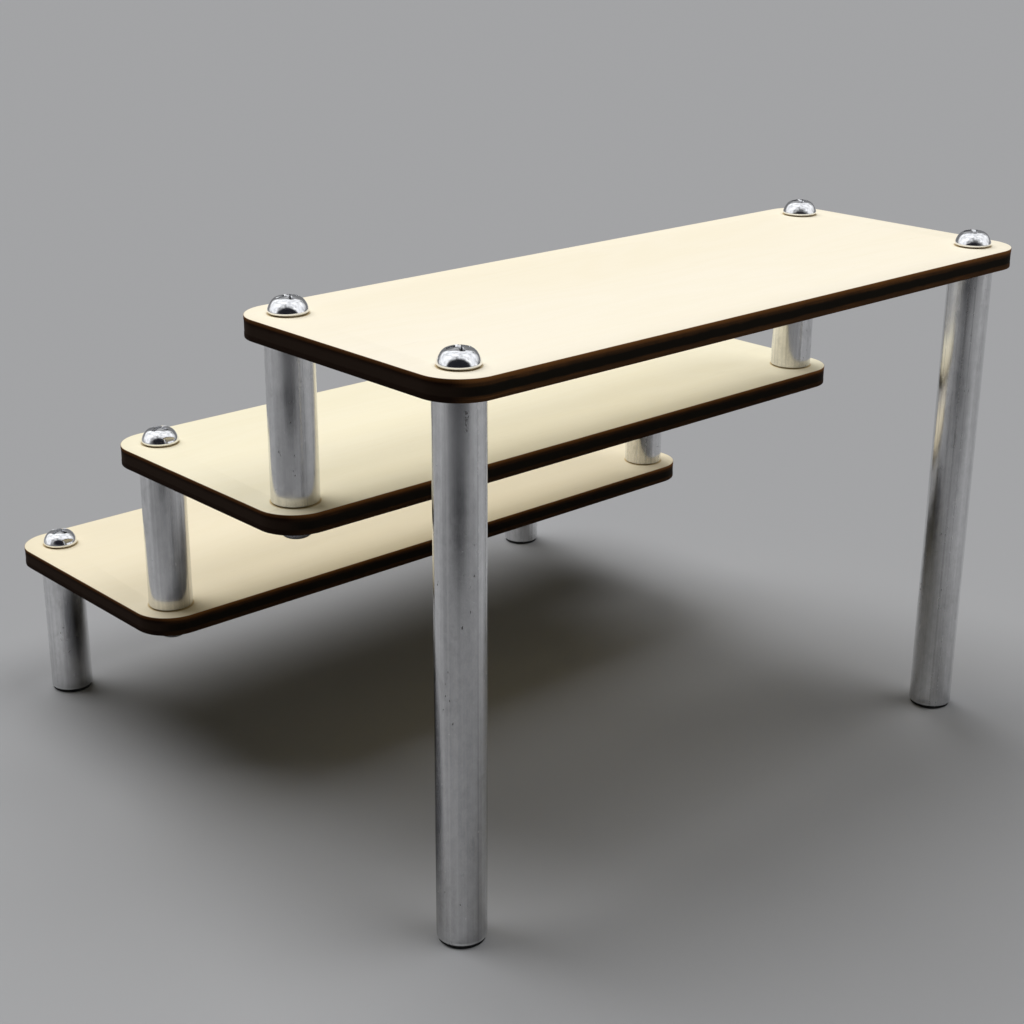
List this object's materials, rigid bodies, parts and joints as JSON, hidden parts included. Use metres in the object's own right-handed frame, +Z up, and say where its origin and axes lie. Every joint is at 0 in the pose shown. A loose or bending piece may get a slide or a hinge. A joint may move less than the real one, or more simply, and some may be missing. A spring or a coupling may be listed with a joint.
{
  "type": "display riser",
  "caption": "Free-standing stepped display riser: overlapping plywood shelves with rounded corners, clamped to round metal posts by domed cross-recess screws.",
  "frame": {"origin": "on the surface that the riser stands on, at the centre of its outline and under the centre of the middle shelf", "axes": "+X runs along the shelves to the right as seen from the low front shelf, +Y goes from the low front shelf to the tall back shelf, +Z is up"},
  "size_m": [0.26, 0.254, 0.1793],
  "materials": {
    "plywood": "sanded birch plywood with scorched laser-cut edges",
    "aluminium_bar": "satin drawn bar, chamfered and bare",
    "plated_steel": "bright plated",
    "black_rubber": "matt"
  },
  "bodies": {
    "root": {"shelf_bottom": "plywood", "shelf_middle": "plywood", "shelf_top": "plywood", "leg_back_left": "aluminium_bar", "leg_back_right": "aluminium_bar", "leg_front_left": "aluminium_bar", "leg_front_right": "aluminium_bar", "post_upper_left": "aluminium_bar", "post_upper_right": "aluminium_bar", "post_lower_left": "aluminium_bar", "post_lower_right": "aluminium_bar", "screw_top_back_left": "plated_steel", "screw_top_back_right": "plated_steel", "screw_top_front_left": "plated_steel", "screw_top_front_right": "plated_steel", "screw_middle_front_left": "plated_steel", "screw_middle_front_right": "plated_steel", "screw_middle_back_left": "plated_steel", "screw_middle_back_right": "plated_steel", "screw_bottom_front_left": "plated_steel", "screw_bottom_front_right": "plated_steel", "screw_bottom_back_left": "plated_steel", "screw_bottom_back_right": "plated_steel", "foot_pad_back_left": "black_rubber", "foot_pad_back_right": "black_rubber", "foot_pad_front_left": "black_rubber", "foot_pad_front_right": "black_rubber"}
  },
  "joints": []
}
